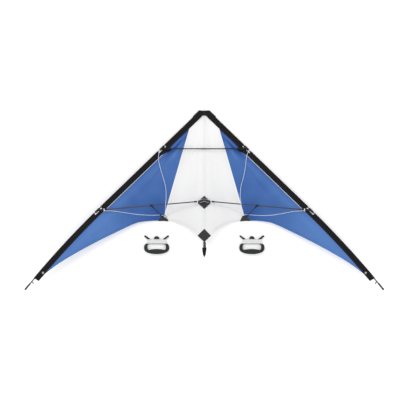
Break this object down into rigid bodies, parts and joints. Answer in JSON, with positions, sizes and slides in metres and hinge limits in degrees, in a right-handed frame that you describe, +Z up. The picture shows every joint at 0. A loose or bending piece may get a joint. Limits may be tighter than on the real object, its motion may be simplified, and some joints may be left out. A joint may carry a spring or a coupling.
{
  "type": "delta stunt kite",
  "caption": "Framed delta stunt kite lying on its back, bridle side up, white and blue sail in black sleeves, with two winder handles beside the tail.",
  "frame": {"origin": "on the floor, under the middle of the object's plan", "axes": "+X across the span to the right wing seen from the bridle side, +Y towards the nose, +Z up from the floor"},
  "size_m": [1.5956, 0.8016, 0.0776],
  "materials": {
    "fibreglass_rod": "pultruded, satin",
    "grey_rod": "pultruded, satin",
    "vinyl_fitting": "moulded vinyl, satin",
    "black_tape": "folded woven tape",
    "black_webbing": "woven webbing",
    "grey_webbing": "woven webbing",
    "grey_patch": "coated cloth",
    "white_sailcloth": "ripstop, faint sheen",
    "blue_sailcloth": "ripstop, faint sheen",
    "nickel_eyelet": "nickel plated",
    "black_cord": "braided cord",
    "white_cord": "braided cord",
    "flying_line": "wound line",
    "handle_plastic": "moulded, fine grain"
  },
  "bodies": {
    "spine_frame": {"spine_rod": "fibreglass_rod", "spine_nose_cap": "vinyl_fitting", "spine_tail_cap": "vinyl_fitting", "tail_strap": "grey_webbing", "joiner_hub": "vinyl_fitting"},
    "left_wing": {"left_le_upper_rod": "fibreglass_rod", "left_le_lower_rod": "fibreglass_rod", "left_le_ferrule": "grey_rod", "left_le_sleeve": "black_tape", "left_nose_webbing": "black_webbing", "left_upper_fitting": "vinyl_fitting", "left_lower_fitting": "vinyl_fitting", "left_lower_spreader": "grey_rod", "left_joiner_arm": "vinyl_fitting", "left_white_panel": "white_sailcloth", "left_blue_panel": "blue_sailcloth", "left_center_patch": "grey_patch", "left_tail_patch": "grey_patch", "left_te_patch": "grey_patch", "left_tip_nock": "vinyl_fitting", "left_tip_tension_cord": "black_cord", "left_tip_eyelet": "nickel_eyelet", "left_bridle_upper_leg": "white_cord", "left_bridle_lower_leg": "white_cord", "left_bridle_center_leg": "white_cord", "left_bridle_knots": "white_cord", "left_tow_knot": "white_cord"},
    "right_wing": {"right_le_upper_rod": "fibreglass_rod", "right_le_lower_rod": "fibreglass_rod", "right_le_ferrule": "grey_rod", "right_le_sleeve": "black_tape", "right_nose_webbing": "black_webbing", "right_upper_fitting": "vinyl_fitting", "right_lower_fitting": "vinyl_fitting", "right_lower_spreader": "grey_rod", "right_joiner_arm": "vinyl_fitting", "right_white_panel": "white_sailcloth", "right_blue_panel": "blue_sailcloth", "right_center_patch": "grey_patch", "right_tail_patch": "grey_patch", "right_te_patch": "grey_patch", "right_tip_nock": "vinyl_fitting", "right_tip_tension_cord": "black_cord", "right_tip_eyelet": "nickel_eyelet", "right_bridle_upper_leg": "white_cord", "right_bridle_lower_leg": "white_cord", "right_bridle_center_leg": "white_cord", "right_bridle_knots": "white_cord", "right_tow_knot": "white_cord"},
    "upper_spreader": {"upper_spreader": "fibreglass_rod"},
    "left_standoff": {"left_standoff_clip": "vinyl_fitting", "left_standoff_rod": "fibreglass_rod", "left_standoff_foot": "vinyl_fitting"},
    "right_standoff": {"right_standoff_clip": "vinyl_fitting", "right_standoff_rod": "fibreglass_rod", "right_standoff_foot": "vinyl_fitting"},
    "left_handle": {"left_handle_frame": "handle_plastic", "left_line_winding": "flying_line"},
    "right_handle": {"right_handle_frame": "handle_plastic", "right_line_winding": "flying_line"}
  },
  "joints": [
    {"name": "left_wing_fold", "type": "hinge", "parent": "spine_frame", "child": "left_wing", "pos_m": [0, -0.00475, 0.04826], "axis": [0, 0.9968, -0.0796], "range_deg": [0, 75]},
    {"name": "right_wing_fold", "type": "hinge", "parent": "spine_frame", "child": "right_wing", "pos_m": [0, -0.00475, 0.04826], "axis": [0, -0.9968, 0.0796], "range_deg": [0, 75]},
    {"name": "upper_spreader_lift", "type": "slide", "parent": "spine_frame", "child": "upper_spreader", "axis": [0, 0.0796, 0.9968], "range_m": [0, 0.3666]},
    {"name": "left_standoff_swing", "type": "hinge", "parent": "left_wing", "child": "left_standoff", "pos_m": [-0.236, -0.02563, 0.04992], "axis": [-0.9961, -0.0881, 0.007], "range_deg": [0, 50]},
    {"name": "right_standoff_swing", "type": "hinge", "parent": "right_wing", "child": "right_standoff", "pos_m": [0.236, -0.02563, 0.04992], "axis": [-0.9961, 0.0881, -0.007], "range_deg": [0, 50]},
    {"name": "left_handle_lift", "type": "slide", "parent": "spine_frame", "child": "left_handle", "axis": [0, 0, 1], "range_m": [0, 0.3]},
    {"name": "right_handle_lift", "type": "slide", "parent": "spine_frame", "child": "right_handle", "axis": [0, 0, 1], "range_m": [0, 0.3]}
  ],
  "couplings": [
    {"joint": "right_wing_fold", "follows": "left_wing_fold", "ratio": 1},
    {"joint": "upper_spreader_lift", "follows": "left_wing_fold", "m_per_rad": 0.28}
  ]
}
